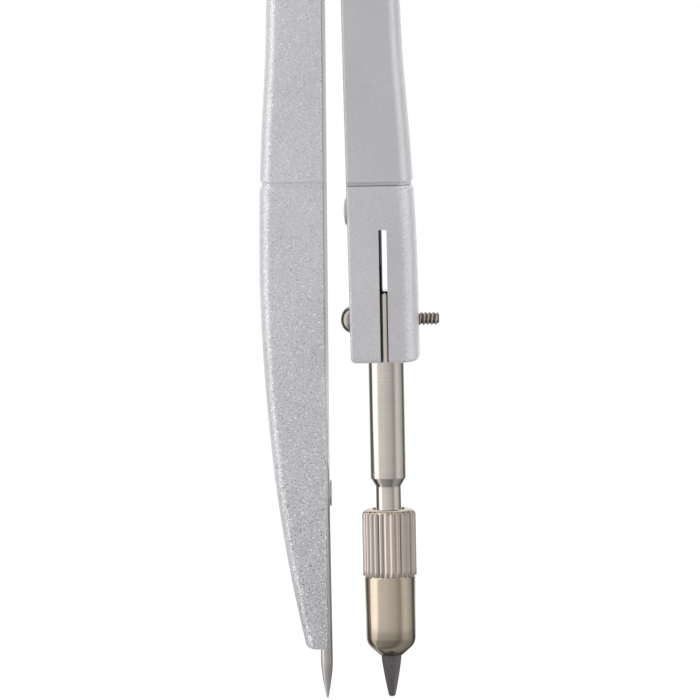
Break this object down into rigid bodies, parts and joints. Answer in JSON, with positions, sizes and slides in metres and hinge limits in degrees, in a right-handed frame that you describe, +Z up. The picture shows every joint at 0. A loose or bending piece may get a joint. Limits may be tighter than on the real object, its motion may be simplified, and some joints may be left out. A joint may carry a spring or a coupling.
{
  "type": "drawing compass",
  "caption": "Drawing compass with geared hinged legs, a clamped steel needle and a clamped collet insert that holds a lead; it draws circles and arcs.",
  "frame": {"origin": "centre of the flat top of the handle cap", "axes": "+Z up along the handle, +X from the needle leg to the lead leg, +Y to the back, where the clamp screw lies; the points hang down at the lowest z"},
  "size_m": [0.018, 0.0082, 0.1528],
  "materials": {
    "silver_paint": "satin",
    "nickel_plate": "polished",
    "screw_steel": "satin",
    "needle_steel": "polished",
    "graphite": "satin",
    "washer_nylon": "matte"
  },
  "bodies": {
    "head": {"head_cover_front": "silver_paint", "head_cover_back": "silver_paint", "head_block": "silver_paint", "cover_rivet_left": "screw_steel", "cover_rivet_right": "screw_steel", "pivot_screw_left": "screw_steel", "pivot_screw_right": "screw_steel", "friction_washer_left_front": "washer_nylon", "friction_washer_left_back": "washer_nylon", "friction_washer_right_front": "washer_nylon", "friction_washer_right_back": "washer_nylon", "handle_spindle": "screw_steel", "handle_collar": "nickel_plate", "handle_grip": "nickel_plate", "handle_cap": "nickel_plate"},
    "needle_side": {"needle_leg": "silver_paint"},
    "needle": {"needle": "needle_steel"},
    "needle_screw": {"needle_screw": "screw_steel"},
    "lead_side": {"lead_leg": "silver_paint", "clamp_block": "silver_paint", "fixing_screw": "screw_steel"},
    "clamp_screw": {"clamp_screw": "screw_steel"},
    "insert": {"insert_shank": "nickel_plate"},
    "sleeve": {"lead_sleeve": "nickel_plate"},
    "lead": {"lead": "graphite"}
  },
  "joints": [
    {"name": "needle_leg_spread", "type": "hinge", "parent": "head", "child": "needle_side", "pos_m": [-0.00317, 0, -0.03282], "axis": [0, 1, 0], "range_deg": [-0.3, 45]},
    {"name": "lead_leg_spread", "type": "hinge", "parent": "head", "child": "lead_side", "pos_m": [0.00317, 0, -0.03282], "axis": [0, 1, 0], "range_deg": [-45, 0.3]},
    {"name": "needle_slide", "type": "slide", "parent": "needle_side", "child": "needle", "axis": [0, 0, -1], "range_m": [-0.0018, 0.008]},
    {"name": "needle_screw_turn", "type": "hinge", "parent": "needle_side", "child": "needle_screw", "pos_m": [-0.0013, 0.00101, -0.13232], "axis": [1, 0, 0], "range_deg": [0, 720]},
    {"name": "clamp_screw_turn", "type": "hinge", "parent": "lead_side", "child": "clamp_screw", "pos_m": [0.0012, 0.00189, -0.11499], "axis": [-1, 0, 0], "range_deg": [0, 720]},
    {"name": "insert_slide", "type": "slide", "parent": "lead_side", "child": "insert", "axis": [0, 0, -1], "range_m": [-0.002, 0.005]},
    {"name": "sleeve_turn", "type": "hinge", "parent": "insert", "child": "sleeve", "pos_m": [0.00466, -0.00078, -0.14082], "axis": [0, 0, 1], "range_deg": [0, 540]},
    {"name": "lead_slide", "type": "slide", "parent": "insert", "child": "lead", "axis": [0, 0, -1], "range_m": [-0.003, 0.006]}
  ],
  "couplings": [
    {"joint": "lead_leg_spread", "follows": "needle_leg_spread", "ratio": -1}
  ]
}
